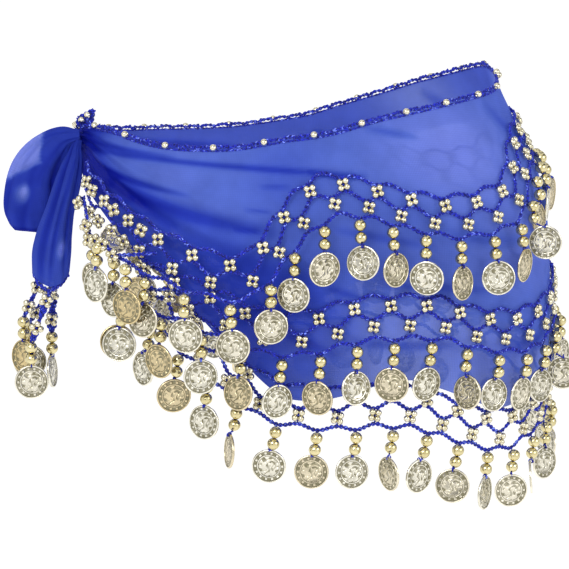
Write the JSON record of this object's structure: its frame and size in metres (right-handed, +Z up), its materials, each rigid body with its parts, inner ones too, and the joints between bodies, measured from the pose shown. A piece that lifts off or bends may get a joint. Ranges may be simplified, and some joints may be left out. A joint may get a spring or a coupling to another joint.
{
  "type": "belly dance hip scarf",
  "caption": "Sheer hip scarf, worn: wound round the hips and tied at one side, with crochet bands, bead flowers and a fringe of big beads and coins.",
  "frame": {"origin": "centre of the hip opening, level with the knot, where the hips hold the scarf", "axes": "+Z up along the wearer's body; the wearer faces -Y; the knot is at -X, the left of the front view"},
  "size_m": [0.3723, 0.2884, 0.2792],
  "materials": {
    "chiffon": "sheer, matt, royal blue",
    "crochet_thread": "royal blue crochet thread with a metallic strand",
    "gilt": "antique pale gilt"
  },
  "bodies": {
    "root": {"cloth_front": "chiffon", "cloth_back": "chiffon", "edging_front": "crochet_thread", "edging_back": "crochet_thread", "lace_upper_front": "crochet_thread", "lace_upper_back": "crochet_thread", "lace_middle_front": "crochet_thread", "lace_middle_back": "crochet_thread", "lace_hem_front": "crochet_thread", "lace_hem_back": "crochet_thread", "fringe_upper_front": "gilt", "fringe_upper_back": "gilt", "fringe_middle_front": "gilt", "fringe_middle_back": "gilt", "fringe_hem_front": "gilt", "fringe_hem_back": "gilt", "fringe_tail": "gilt", "knot": "chiffon", "tie_loop": "chiffon", "tie_tail": "chiffon", "tie_tip": "crochet_thread"}
  },
  "joints": []
}
